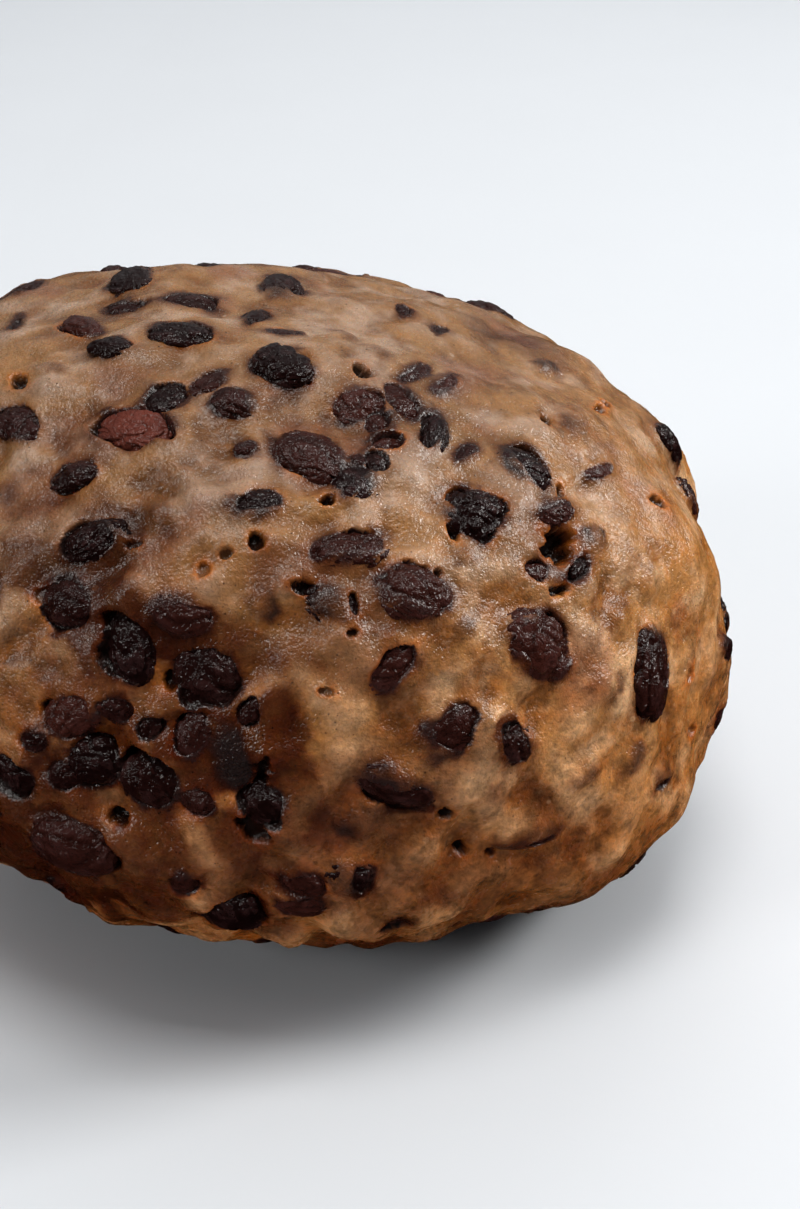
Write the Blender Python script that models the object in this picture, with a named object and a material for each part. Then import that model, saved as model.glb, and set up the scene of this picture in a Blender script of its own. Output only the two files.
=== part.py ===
"""Clootie dumpling: a round boiled fruit pudding with raisins set into its skin.

Lengths are in metres and +Z is up.  The pudding stands on its flat foot at z = 0, and the box round
the whole thing is centred on the Z axis.  A place on the skin is given by two angles in degrees:
"around" turns from -Y towards +X, and "up" climbs from the widest girth to the crown.
"""
import bmesh
import bpy
import numpy as np
from mathutils import Matrix, Vector

MM = 0.001

# The pudding: a squat round form, fuller above its girth than below, which leans as it settled.
RADIUS = 82 * MM
STRETCH = 0.04                 # wider along X and narrower along Y by this share
CROWN_HEIGHT = 70.5 * MM       # from the girth to the crown
BELLY_DEPTH = 44 * MM          # from the girth to where the belly would end if it were not flattened
GIRTH_HEIGHT = 40 * MM         # from the table to the middle of the girth
CROWN_FULLNESS = 2.5           # 2 is an ellipse, and more is squarer
BELLY_FULLNESS = 1.93
LEAN_TO_RIGHT = 10.5           # degrees that the crown falls towards +X
LEAN_TO_BACK = 5.0             # degrees that the girth falls towards +Y

# Swellings of the skin: waves to the radian and their height, each laid in WAVES_EACH directions.
SWELLINGS = ((3.0, 0.42 * MM), (6.5, 0.30 * MM), (12.0, 0.18 * MM))
WAVES_EACH = 4
SWELLING_SEED = 77
# Broad bulges and dents, left by the cloth: around, up, rise in mm, spread in degrees.
BULGES = (
    (82, 30, -1.6, 13), (74, 14, 0.8, 9), (-8, 16, -1.0, 9), (4, 26, 0.8, 8), (150, 20, 1.6, 20),
    (205, 5, -1.8, 16), (250, 35, 1.0, 18),
)

COLUMNS = 48
ROWS = 17
RAISIN_SIDES = 8               # facets round a raisin's long axis
RAISIN_RINGS = 4               # and along it

# Raisins on the front, the crown and the right-hand side, by rows from the crown down.
# around, up and turn in degrees; length, width and proud in mm.  The turn is that of the long axis
# from level, rising to the right; proud is how far the raisin stands out of the skin.
LAID_RAISINS = (
    (-68, 82, -15, 12.0, 7.5, 1.0), (-86, 63, -15, 10.0, 7.0, 0.8), (-62, 68, -15, 9.0, 6.0, 0.8),
    (-41, 60, -30, 9.0, 6.5, 1.0), (-64, 54, 20, 8.5, 6.0, 0.8), (-14, 58, 10, 8.0, 7.5, 2.0),
    (4, 55, -10, 8.0, 5.5, 0.8), (13, 56, -70, 7.5, 5.5, 0.8),
    (-30, 49, 60, 6.5, 5.0, 0.7), (-19, 51, -20, 6.5, 5.0, 0.9), (17, 51, 50, 8.0, 4.5, 0.8),
    (-4, 46, -40, 10.0, 7.5, 1.4), (-31, 44, 0, 11.5, 7.0, 0.9), (3, 43, -5, 6.5, 5.0, 0.7),
    (31, 46, -60, 8.5, 6.5, 1.2), (-49, 39, -10, 8.0, 5.5, 0.8), (-35, 36, 20, 7.0, 4.5, 0.7),
    (-10, 38, 5, 7.0, 5.0, 0.8), (21, 40, -30, 11.0, 9.0, 1.6), (33, 40, -15, 7.0, 4.5, 0.8),
    (85, 40, -60, 9.0, 6.0, 2.4), (77, 34, -70, 8.0, 5.5, 2.4),
    (2, 35, 0, 9.5, 5.0, 1.0), (10, 31, -30, 10.0, 8.0, 1.6), (1, 29, -20, 7.0, 5.5, 0.6),
    (-28, 30, 30, 8.0, 5.0, 0.8), (-28, 23, -30, 8.5, 7.0, 0.8), (-15, 25, -15, 9.0, 5.5, 0.6),
    (-20, 20, -70, 9.5, 7.0, 0.6), (-11, 19, -30, 10.0, 8.5, 0.6), (9, 23, 20, 9.0, 7.0, 0.8),
    (27, 25, -30, 12.0, 9.5, 1.8), (45, 20, 70, 11.5, 8.5, 1.6), (15, 16, 25, 9.5, 7.5, 1.0),
    (23, 15, -30, 8.0, 6.5, 0.6), (41, 10, 45, 7.0, 5.0, 0.6), (-24, 12, 35, 8.5, 6.0, 0.6),
    (-21, 7, 10, 7.0, 6.5, 0.8), (-15, 7, -45, 9.0, 7.0, 0.6), (-30, 3, -20, 7.0, 5.5, 0.8),
    (10, 10, -30, 11.0, 6.0, 0.6), (21, 8, 30, 7.5, 6.5, 0.6), (-3, 7, -20, 8.5, 6.0, 0.8),
    (-22, -3, -5, 13.5, 8.5, 1.4), (7, -1, -20, 7.0, 6.0, 0.8), (2, -5, -20, 7.5, 5.0, 0.8),
    (-5, -9, 0, 9.0, 8.0, 1.0),
)
THICKNESS_SHARE = 0.74         # a raisin's thickness for its width

# Raisins on the back and the left-hand side, strewn evenly by the golden angle and then jittered.
STREWN_RAISINS = 10
STREWN_FROM = 108              # around, where they begin
STREWN_SWEEP = 165             # degrees round the back
STREWN_UP = (4, 56)
STREWN_JITTER = 4
STREWN_LENGTH = (8, 12)
STREWN_PROUD = 1.2
STREWN_SEED = 8
GOLDEN_SHARE = 0.618034

SOCKET_GAP = 0.35 * MM         # between a raisin and its socket
DIMPLING = 0.09                # how uneven a raisin is, as a share of its radius
SULTANA_AT = 12                # the one pale raisin, by its place in the list


def lean(points):
    """Tip points towards +X and +Y about the middle of the girth."""
    tip = Matrix.Rotation(np.radians(LEAN_TO_RIGHT), 3, "Y")
    tip = Matrix.Rotation(-np.radians(LEAN_TO_BACK), 3, "X") @ tip
    return points @ np.array(tip).T


def direction(around, up):
    """Unit vectors in the pudding's own frame, before it leans; angles in radians."""
    level = np.cos(up)
    return np.stack([level * np.sin(around), -level * np.cos(around), np.sin(up)], axis=-1)


def swelling(outward):
    """How far the skin swells or sinks along each unit vector."""
    rng = np.random.default_rng(SWELLING_SEED)
    rise = np.zeros(outward.shape[:-1])
    for waves, height in SWELLINGS:
        axes = rng.normal(size=(WAVES_EACH, 3))
        axes /= np.linalg.norm(axes, axis=1, keepdims=True)
        starts = rng.uniform(0, 2 * np.pi, WAVES_EACH)
        for axis, start in zip(axes, starts):
            rise += height * np.sin(waves * (outward @ axis) * 2 + start)
    for around, up, height, spread in BULGES:
        middle = direction(np.radians(around), np.radians(up))
        off = np.degrees(np.arccos(np.clip(outward @ middle, -1, 1)))
        rise += height * MM * np.exp(-(off / spread) ** 2)
    return rise


def skin(around, up):
    """Points of the skin at two angles in radians, not yet cut off at the table."""
    around, up = np.broadcast_arrays(np.asarray(around, float), np.asarray(up, float))
    upper = np.sin(up) >= 0
    fullness = np.where(upper, CROWN_FULLNESS, BELLY_FULLNESS)
    height = np.where(upper, CROWN_HEIGHT, BELLY_DEPTH)
    across = np.abs(np.cos(up) / RADIUS) ** fullness
    upright = np.abs(np.sin(up) / height) ** fullness
    reach = (across + upright) ** (-1 / fullness)
    outward = direction(around, up)
    reach = reach + swelling(outward)
    points = reach[..., None] * outward * np.array([1 + STRETCH, 1 - STRETCH, 1])
    return lean(points) + np.array([0, 0, GIRTH_HEIGHT])


def foot_angle(around):
    """The angle below the girth at which each column of the skin meets the table."""
    low = np.full(around.shape, np.radians(-89.0))
    high = np.zeros(around.shape)
    for _ in range(40):
        middle = (low + high) / 2
        under = skin(around, middle)[..., 2] < 0
        low = np.where(under, middle, low)
        high = np.where(under, high, middle)
    return high


def outward_normal(around, up):
    """Unit normal of the skin at one place; angles in radians."""
    step = 0.02
    along = skin(around + step, up) - skin(around - step, up)
    climb = skin(around, up + step) - skin(around, up - step)
    normal = Vector(np.cross(along, climb))
    return normal.normalized()


def material(name, colour, roughness):
    made = bpy.data.materials.new(name)
    made.use_nodes = True
    shader = made.node_tree.nodes["Principled BSDF"]
    shader.inputs["Base Color"].default_value = (*colour, 1)
    shader.inputs["Roughness"].default_value = roughness
    shader.inputs["Metallic"].default_value = 0
    return made


def add_object(name, mesh, look, parent):
    """Link a new object that shows a mesh with one material."""
    added = bpy.data.objects.new(name, mesh)
    if look:
        mesh.materials.append(look)
    bpy.context.scene.collection.objects.link(added)
    added.parent = parent
    return added


def pudding_mesh():
    """Rings from the flat foot up to the crown, closed by one face below and a fan above."""
    around = np.arange(COLUMNS) * 2 * np.pi / COLUMNS
    foot = foot_angle(around)
    body = bmesh.new()
    rings = []
    for row in range(ROWS):
        climb = row / ROWS
        ring = skin(around, foot + (np.pi / 2 - foot) * climb)
        if row == 0:
            ring[:, 2] = 0
        rings.append([body.verts.new(point) for point in ring])
    crown = body.verts.new(skin(0.0, np.pi / 2))
    for lower, upper in zip(rings, rings[1:]):
        for left in range(COLUMNS):
            right = (left + 1) % COLUMNS
            body.faces.new((lower[left], lower[right], upper[right], upper[left]))
    for left in range(COLUMNS):
        right = (left + 1) % COLUMNS
        body.faces.new((rings[-1][left], rings[-1][right], crown))
    body.faces.new(rings[0][::-1])
    mesh = bpy.data.meshes.new("pudding")
    body.to_mesh(mesh)
    body.free()
    mesh.shade_smooth()
    mesh.set_sharp_from_angle(angle=np.radians(40))
    return mesh


def raisin_mesh(name, semi_axes, seed, grow=0.0):
    """A dimpled, slightly flattened ball; grow moves its surface out, for the socket."""
    rng = np.random.default_rng(seed)
    ball = bmesh.new()
    bmesh.ops.create_uvsphere(ball, u_segments=RAISIN_SIDES, v_segments=RAISIN_RINGS, radius=1.0)
    for vert, dimple in zip(ball.verts, rng.uniform(-1, 1, len(ball.verts))):
        spread = 1 + DIMPLING * dimple
        poles_on_x = vert.co.zxy
        vert.co = Vector([share * (half * spread + grow) for share, half in zip(poles_on_x, semi_axes)])
    mesh = bpy.data.meshes.new(name)
    ball.to_mesh(mesh)
    ball.free()
    mesh.shade_smooth()
    return mesh


def seat(around, up, turn, thickness, proud):
    """Where a raisin lies: its long axis along X and its thickness along Z before this move."""
    around, up = np.radians(around), np.radians(up)
    normal = outward_normal(around, up)
    level = Vector((0, 0, 1)).cross(normal).normalized()
    spin = Matrix.Rotation(np.radians(turn), 3, normal)
    long_axis = spin @ level
    place = Vector(skin(around, up)) + normal * (proud - thickness / 2)
    turned = Matrix((long_axis, normal.cross(long_axis), normal)).transposed()
    return Matrix.Translation(place) @ turned.to_4x4()


def strewn_raisins():
    """Rows like those of LAID_RAISINS for the sides that face away."""
    rng = np.random.default_rng(STREWN_SEED)
    rows = []
    for number in range(STREWN_RAISINS):
        climb = (number + 0.5) / STREWN_RAISINS
        around = STREWN_FROM + STREWN_SWEEP * ((number * GOLDEN_SHARE) % 1)
        up = STREWN_UP[0] + (STREWN_UP[1] - STREWN_UP[0]) * climb
        around += rng.uniform(-STREWN_JITTER, STREWN_JITTER)
        length = rng.uniform(*STREWN_LENGTH)
        width = length * rng.uniform(0.65, 0.85)
        rows.append((around, up, rng.uniform(-90, 90), length, width, STREWN_PROUD))
    return rows


def add_raisin(number, row, looks, parent, cutters):
    """One raisin, and the cutter that makes its socket."""
    around, up, turn, length, width, proud = row
    thickness = width * THICKNESS_SHARE * MM
    semi_axes = (length * MM / 2, width * MM / 2, thickness / 2)
    place = seat(around, up, turn, thickness, proud * MM)
    name = f"raisin_{number:02d}"
    look = looks["sultana"] if number == SULTANA_AT + 1 else looks["raisin"]
    raisin = add_object(name, raisin_mesh(name, semi_axes, number), look, parent)
    raisin.matrix_local = place
    socket_mesh = raisin_mesh(name + "_socket", semi_axes, number, grow=SOCKET_GAP)
    socket = add_object(name + "_socket", socket_mesh, None, parent)
    socket.matrix_local = place
    socket.hide_render = True
    socket.display_type = "WIRE"
    cutters.objects.link(socket)
    return raisin


def centre_on_axis(stand, shown):
    """Move the empty that carries everything, so that the whole box is centred on the Z axis."""
    bpy.context.view_layer.update()
    corners = [part.matrix_world @ vert.co for part in shown for vert in part.data.vertices]
    across = np.array(corners)
    middle = (across.min(axis=0) + across.max(axis=0)) / 2
    stand.location = (-middle[0], -middle[1], 0)


def main():
    for old in list(bpy.data.objects):
        bpy.data.objects.remove(old)
    looks = {
        "pudding": material("pudding_skin", (0.30, 0.150, 0.075), 0.45),
        "raisin": material("raisin_skin", (0.022, 0.009, 0.008), 0.30),
        "sultana": material("sultana_skin", (0.120, 0.036, 0.024), 0.35),
    }
    stand = bpy.data.objects.new("stand", None)
    bpy.context.scene.collection.objects.link(stand)
    cutters = bpy.data.collections.new("sockets")
    pudding = add_object("pudding", pudding_mesh(), looks["pudding"], stand)
    shown = [pudding]
    for number, row in enumerate(list(LAID_RAISINS) + strewn_raisins(), start=1):
        shown.append(add_raisin(number, row, looks, stand, cutters))
    sockets = pudding.modifiers.new("sockets", "BOOLEAN")
    sockets.operation = "DIFFERENCE"
    sockets.solver = "EXACT"
    sockets.operand_type = "COLLECTION"
    sockets.collection = cutters
    centre_on_axis(stand, shown)


main()
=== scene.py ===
"""Looks of a clootie dumpling: a damp, waxy skin over raisins, a sultana and currants.

Run as a script in Blender.  Lengths are in metres and +Z is up.  The form is the one that the frame
has: a squat round pudding that leans a little, with a flat foot at z = 0.  A place on the skin is
given by two angles in degrees: "around" turns from -Y towards +X, and "up" climbs from the widest
girth to the crown.  Fruit that the frame has keeps its place and size; smaller fruit, buried fruit
and bubble holes are added here.
"""
import math

import bmesh
import bpy
import numpy as np
from mathutils import Matrix, Vector


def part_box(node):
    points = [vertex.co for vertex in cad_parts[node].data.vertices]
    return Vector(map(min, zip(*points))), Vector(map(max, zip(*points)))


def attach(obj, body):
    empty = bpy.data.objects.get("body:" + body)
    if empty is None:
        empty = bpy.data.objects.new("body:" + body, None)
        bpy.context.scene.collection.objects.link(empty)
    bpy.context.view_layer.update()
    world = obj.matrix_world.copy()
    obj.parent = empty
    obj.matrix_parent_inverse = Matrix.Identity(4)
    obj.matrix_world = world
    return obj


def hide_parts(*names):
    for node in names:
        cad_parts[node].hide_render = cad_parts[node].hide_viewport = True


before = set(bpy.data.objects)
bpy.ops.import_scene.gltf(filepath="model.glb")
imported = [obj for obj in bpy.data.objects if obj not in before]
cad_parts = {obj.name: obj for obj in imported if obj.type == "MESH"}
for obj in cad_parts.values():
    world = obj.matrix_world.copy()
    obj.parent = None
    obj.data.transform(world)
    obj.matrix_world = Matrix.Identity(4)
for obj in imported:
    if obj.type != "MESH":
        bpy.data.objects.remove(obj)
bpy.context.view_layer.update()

bl_info = {
    "name": "Clootie Dumpling",
    "version": (1, 0, 0),
    "blender": (4, 5, 0),
    "location": "View3D > Sidebar > Dumpling",
    "description": "Builds the skin and the fruit of a boiled fruit pudding round its frame",
    "category": "Object",
}

MM = 0.001

# The form, as the frame has it.
RADIUS = 82 * MM
STRETCH = 0.04
CROWN_HEIGHT = 70.5 * MM
BELLY_DEPTH = 44 * MM
GIRTH_HEIGHT = 40 * MM
CROWN_FULLNESS = 2.5
BELLY_FULLNESS = 1.93
LEAN_TO_RIGHT = 10.5
LEAN_TO_BACK = 5.0
SWELLINGS = ((3.0, 0.42 * MM), (6.5, 0.30 * MM), (12.0, 0.18 * MM))
WAVES_EACH = 4
SWELLING_SEED = 77
BULGES = (
    (82, 30, -1.6, 13), (74, 14, 0.8, 9), (-8, 16, -1.0, 9), (4, 26, 0.8, 8), (150, 20, 1.6, 20),
    (205, 5, -1.8, 16), (250, 35, 1.0, 18),
)
FOOT_ROUNDING = 1.6 * MM
SLOPE_STEP = 0.01              # how far to either side the form is felt for its slope

# The frame's raisins, by the piece that they are part of.
FRAME_RAISINS = 57
SULTANA = 13
RAISIN_GROUPS = {
    "raisins_crown": (*range(1, SULTANA), *range(SULTANA + 1, 23)),
    "raisins_face": range(23, 48),
    "raisins_back": range(48, FRAME_RAISINS + 1),
}

# How each raisin of the frame lies in the skin: cover is the share of it under a film of dough and
# the film comes from cover_side; gap is how wide the crevice beside it is on gap_side (sides are
# degrees in the skin, 0 to the right and 90 up); red is how far it goes from black to red-brown;
# pebble is how finely it is wrinkled.
BEDDING_PARTS = ("cover", "cover_side", "gap", "gap_side", "red", "pebble")
BEDDING = {
    1: (0.35, 135, 0, 0, 0.1, 0), 2: (0.25, 90, 0, 0, 0, 0.4), 3: (0.25, 90, 0, 0, 0.2, 0),
    4: (0.15, 120, 0.5, -90, 0, 0), 5: (0.5, 100, 0, 0, 0.7, 0), 6: (0, 0, 0.6, 0, 0, 0),
    7: (0.2, 60, 0, 0, 0.7, 0), 8: (0.3, 0, 0, 0, 0.5, 0), 9: (0.1, 60, 0.7, 220, 0, 0),
    10: (0.15, 0, 0, 0, 0.3, 0), 11: (0.3, -60, 0, 0, 0, 0), 12: (0.25, -20, 0.6, 250, 0.45, 0),
    13: (0, 0, 0.8, 215, 1, 0), 14: (0.45, -50, 0, 0, 0, 0), 15: (0.4, 180, 0.3, -30, 0, 0),
    16: (0, 0, 0.3, 180, 0.2, 0), 17: (0, 0, 0, 0, 0.1, 0), 18: (0.35, -80, 0, 0, 0, 0),
    19: (0.28, -35, 0, 0, 0, 1), 20: (0.5, 90, 0, 0, 0.5, 0.6), 21: (0.2, 180, 0, 0, 0, 0),
    22: (0.2, 180, 0, 0, 0.4, 0), 23: (0.35, -100, 0, 0, 0.45, 0.5), 24: (0.35, 225, 0, 0, 0.5, 0),
    25: (0, 0, 0, 0, 0, 0), 26: (0.1, 40, 0.6, 180, 0, 0), 27: (0, 0, 0.6, 170, 0.15, 0),
    28: (0.3, 90, 0, 0, 0.45, 0), 29: (0, 0, 1, 90, 0, 0), 30: (0, 0, 0.3, 180, 0.1, 0),
    31: (0.45, -30, 0, 0, 0.5, 0.4), 32: (0.15, -45, 0, 0, 0.65, 0.5),
    33: (0.25, -60, 0.8, 180, 0.25, 0), 34: (0.4, 225, 0, 0, 0.35, 0),
    35: (0.3, 0, 0, 0, 0.2, 0.8), 36: (0, 0, 0, 0, 0, 0), 37: (0.2, 0, 0, 0, 0.7, 0),
    38: (0, 0, 1, 100, 0, 0), 39: (0, 0, 0.5, 135, 0.1, 0), 40: (0, 0, 0.3, 0, 0, 0),
    41: (0.42, 70, 0, 0, 0.2, 0.4), 42: (0, 0, 0, 0, 0.4, 0), 43: (0.25, 0, 0, 0, 0, 0),
    44: (0, 0, 0.6, 45, 0.4, 0), 45: (0.5, 180, 0, 0, 0, 0), 46: (0.2, 90, 0, 0, 0.6, 0),
    47: (0, 0, 1, 20, 0, 0),
}
WHOLE_FILM = {25: 0.20, 36: 0.28, 42: 0.12}     # raisins quite under a film, mm

# Small fruit on the side that faces the camera:
# around, up, turn, length, width, proud (mm), cover, cover side, red.
SMALL_FRUIT = (
    (-47, 53, 17, 6.8, 4, 0.7, 0.1, 90, 0), (-69, 61, 17, 6.5, 4.3, 0.5, 0.6, 90, 0.2),
    (-35, 71, -40, 7, 4, 0.7, 0.1, 90, 0.1), (-25, 53, 40, 6, 3.8, 0.7, 0.2, 0, 0.4),
    (19, 62, -9, 7, 3.6, 0.5, 0.45, 90, 0.4), (25, 60, -9, 6.5, 3.4, 0.4, 0.5, 90, 0.6),
    (7, 52, 48, 5.3, 3.9, 0.5, 0.2, 90, 0.4), (8, 49, -6, 6.3, 3.8, 0.5, 0.2, 90, 0.6),
    (6, 46, -84, 4.5, 3.7, 0.5, 0.1, 0, 0.1), (3, 46, 63, 2.4, 2, 0.4, 0.1, 0, 0.2),
    (22, 48, 25, 5.1, 2.6, 0.4, 0.4, -90, 0.2), (53, 79, 37, 3.6, 2.4, 0.5, 0.2, 0, 0.2),
    (28, 33, -31, 7, 3.2, 0.4, 0.45, -60, 0.5), (34, 33, 12, 5.6, 2.8, 0.6, 0.15, 0, 0),
    (48, 6, -19, 6, 4, 0.5, 0.7, 90, 0.2), (69, 16, -30, 7, 3.6, 0.9, 0.1, 180, 0.1),
    (27, 3, -12, 12, 4.6, 0.6, 0.8, 90, 0.6), (-12, 13, 71, 6.8, 4.6, 0.9, 0.1, 90, 0.3),
    (-19, 67, -88, 5, 3.5, 0.5, 0.2, 90, 0.2), (54, 73, -14, 4.1, 2.9, 0.4, 0.3, 90, 0.2),
    (-77, 48, 15, 7.5, 3, 0.5, 0.3, 90, 0.2), (47, 44, -13, 6.5, 2.2, 0.4, 0.5, 90, 0.8),
    (2, -2, -29, 6.6, 4.1, 0.6, 0.2, 90, 0.5), (-14, 45, 20, 3, 2.2, 0.3, 0.2, 90, 0.3),
    (-24, 5, 25, 5.5, 4.2, 0.6, 0.1, 90, 0.1), (-20, 14, -30, 5, 3.6, 0.5, 0.3, 90, 0.2),
    (-33, -2, 30, 6, 4.4, 0.6, 0.2, 90, 0.3), (-10, -4, 60, 5, 3.8, 0.5, 0.3, 90, 0.4),
    (13, -8, 10, 6, 4, 0.5, 0.5, 90, 0.3), (-36, 22, 70, 5, 3.4, 0.4, 0.5, 0, 0.4),
    (-16, 13, 40, 4.8, 3.6, 0.6, 0.2, 90, 0.1), (-10, 6, -20, 5.2, 3.8, 0.7, 0.15, 90, 0.3),
    (-6, 17, 60, 5, 3.6, 0.6, 0.25, 0, 0.2), (-28, 8, 20, 4.6, 3.4, 0.6, 0.15, 90, 0.1),
)

# Fruit quite under the skin, seen only as a bulge and a grey shadow:
# around, up, turn, length, width, depth of the film (mm).
BURIED_FRUIT = (
    (11, 65, 40, 7.5, 5.5, 0.45), (51, 51, 3, 8.5, 5, 0.3), (74, 60, -30, 6, 3.8, 0.5),
    (-21, 35, -14, 4.2, 3.6, 0.45), (-7, 28, -80, 5.6, 4.2, 0.28), (16, 27, 1, 4, 3.2, 0.5),
    (38, 36, -7, 6.5, 4.6, 0.45), (17, 35, -13, 4.5, 3, 0.4), (18, -5, -20, 8.5, 5.6, 0.45),
    (7, 6, -2, 8, 5.4, 0.35), (-43, 31, 9, 6, 3.6, 0.35), (-41, 35, 10, 4.6, 3.2, 0.4),
    (40, 27, 20, 7, 5, 0.7), (35, 20, -20, 8, 6, 0.8), (-52, 46, 10, 6, 4, 0.6),
    (-36, 28, -20, 7, 5, 0.6), (47, 30, 60, 7, 5, 0.8), (0, 70, 10, 7, 5, 0.7),
    (-2, 12, 30, 6, 5, 0.6), (33, 10, 10, 7, 5, 0.6), (-8, 12, -82, 11, 7.5, 0.1),
)

# Bubble holes: around, up, turn, length, width, depth (mm), amber round it.
HOLES = (
    (-55, 43, -4, 4.5, 2.6, 1.6, 0.9), (4, 60, 65, 4, 3.1, 2.6, 0.5), (-8, 57, 74, 2.6, 2.3, 1.8, 1),
    (-38, 58, -45, 2.4, 2, 1.6, 0.9), (-1, 40, 43, 2.3, 2.1, 2.2, 0.8), (43, 52, 18, 2.5, 2.2, 2.4, 0.2),
    (32, 36, 5, 7, 5.2, 5, 0.9), (35, 45, 31, 1.5, 1.3, 1.2, 0.4), (36, 42, 60, 3.6, 1.8, 1.4, 1),
    (57, 38, -40, 4.4, 2.4, 1.5, 0.9), (66, 51, -16, 4, 2.2, 1.2, 1), (72, 51, -16, 4, 2.2, 1.2, 1),
    (30, 31, -3, 4, 1.7, 1.8, 0.7), (16, 38, 69, 3, 2.2, 1.6, 0.7), (13, 33, 40, 1.6, 1.4, 1.4, 0.5),
    (-9, 34, -82, 3, 2.5, 2, 0.8), (-12, 32, 13, 2.2, 1.4, 1.2, 0.6), (-23, 31, 10, 2.2, 1.4, 1.2, 0.6),
    (-14, 30, -59, 2.3, 2.1, 0.9, 0.8), (-31, 23, 14, 3.2, 2.6, 1, 1), (-15, 18, 21, 2.6, 2.3, 1.6, 0.6),
    (-3, 30, -12, 4.4, 2.2, 1.6, 0.9), (3, 29, -86, 3.4, 1.4, 1.8, 0.7), (3, 26, 6, 1.9, 1.3, 1.4, 0.6),
    (16, 7, -13, 2.7, 1.7, 1.6, 0.5), (19, 2, -31, 2.3, 1.8, 1.6, 0.4), (23, 1, -28, 2, 1.5, 1.4, 0.4),
    (-4, 4, -44, 5.7, 3.8, 2, 0.7), (-12, 13, 80, 7, 2, 2.2, 0.6), (-17, 9, 29, 4.1, 3.5, 3, 0.4),
    (-4, 10, 75, 8, 1.9, 2.2, 0.6),
    (-18, 2, -11, 3.4, 2.7, 2.4, 0.5), (55, 17, -24, 4.6, 3, 0.8, 1), (57, 9, -21, 4, 2.2, 0.7, 1),
    (11, 33, 8, 1.6, 1.1, 1, 0.8), (-27, 12, 0, 3, 2.4, 1.8, 0.6), (1, 20, 0, 2.4, 1.2, 1, 0.8),
)

# The sides that face away get the same kinds of fruit and holes, strewn by chance.
AWAY_FROM = (4, 44)            # around and up of the middle of the side laid one by one
AWAY_ANGLE = 66                # degrees from there at which the strewn fruit begins
LOWEST_UP = -34
ABOVE_TABLE = 5                # clear space below and between the fruit, mm
BETWEEN = 0.7
TRIES = 60                     # for each piece
STREWN_SEED = 31

# For each kind: how many, the least and greatest length, proud (mm), and the first seed.
STREWN = {
    "large": (38, (7.5, 12.5), 0.9, 500), "small": (86, (3.6, 7.0), 0.55, 600),
    "buried": (44, (4.5, 9.0), 0.15, 700), "holes": (70, (1.6, 4.0), 0.6, 800),
}

# Fruit laid one by one: the first seed of each kind, and what all of a kind have in common.
SMALL_SEED = 200
BURIED_SEED = 300
HOLE_SEED = 400
BURIED_PROUD = 0.15
OUT_OF_SIGHT = 2.0             # a cover that leaves nothing bare
THICKNESS_SHARE = 0.74         # of its width
HOLE_DEPTH_SHARE = 1.4         # depth of a strewn hole, as a share of half its width
HOLE_RIM = 0.93                # where a hole's wall is steepest, as a share of half its width

# The meshes: how many times a ball is divided, and how near the edge of an opening the skin is
# divided again.
SKIN_CUTS = 6
SULTANA_CUTS = 5
RAISIN_CUTS = 4
CURRANT_CUTS = 3
BANDS = (1.25 * MM, 0.5 * MM)

# The skin round a piece of fruit.
SPREAD_UNDER = 1.20            # fruit goes on under the skin, wider than its opening by this
OPENING = 0.85                 # the opening's rim, as a share of the fruit's reach
CREVICE = 0.26                 # how much wider the opening is where there is a crevice
ROUNDED_CORNERS = 0.16
FILM_EDGE = 0.07 * MM          # how thick a film is at its very edge, how soon it gets so thick,
FILM_EDGE_WIDTH = 0.25 * MM
FILM_SLOPE = 0.10              # and how much thicker it grows with each metre from the edge
WET_ROUND_FRUIT = 0.95         # how sodden the dough is beside fruit, and how far out that goes
WET_REACH = 2.0 * MM
WALL = 2.6                     # how steeply the dough falls away inside an opening
STEP_DOWN = 0.05 * MM          # how far under the fruit's top it starts, and how steeply it goes on
SLOPE_DOWN = 1.3
LIP = 0.20 * MM                # how high the lip round an opening is, how far out it lies,
LIP_AT = 0.9 * MM
LIP_WIDTH = 0.7 * MM           # and how wide it is
DROOP = 0.22 * MM              # how far a rim droops into a crevice, and how far out that starts
DROOP_WIDTH = 0.3 * MM
RIM_WAVES = ((3.2 * MM, 0.09), (1.3 * MM, 0.022))     # how ragged a rim is
FOLLOWS = 0.45 * MM            # how thick a film still shows the wrinkles under it
TAKEN_BACK = 0.12              # share of the drape's softness that is taken off again
AMBER_REACH = 0.8 * MM

# Places round a piece of fruit, as shares of its reach: where the skin begins to follow it and does
# so fully, the same for its shadow, and where the lip and the sodden dough end.
SHAPED = (1.45, 0.95)
VEILED = (1.15, 0.9)
RIM_ENDS = 1.6
WET_ENDS = 1.9

# A bubble hole: where its wall begins and ends, and the height, place and width of its lip.  All but
# the height are shares of its half width.
HOLE_WALL = (1.10, 0.72)
HOLE_LIP = 0.16 * MM
HOLE_LIP_AT = 1.32
HOLE_LIP_WIDTH = 0.2

# A raisin's wrinkles, where its half width is 1: how wide each kind is, and how high or deep.
SWELL_WIDTH, SWELL_HEIGHT = 1.4, 0.12
FOLD_WIDTH, FOLD_DEPTH = 0.60, 0.17
CRIMP_WIDTH, CRIMP_DEPTH = 0.27, 0.085
PEBBLE_WIDTH, PEBBLE_HEIGHT = 0.15, 0.010

# Painted shade, where the dough is darkest on the shaded lower left: around and up of the middle,
# and the angles at which it begins to fade and has gone.
SHADE_PAINTED_AT = (-15, 4)
SHADE_PAINTED_SPREAD = (12, 44)
SHADE_PAINTED_STRENGTH = 0.36
FOOT_SHADE_PAINTED = 0.95             # and the painted shade at the foot, from the table up to where it has gone
FOOT_SPREAD = (10 * MM, 38 * MM)
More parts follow.
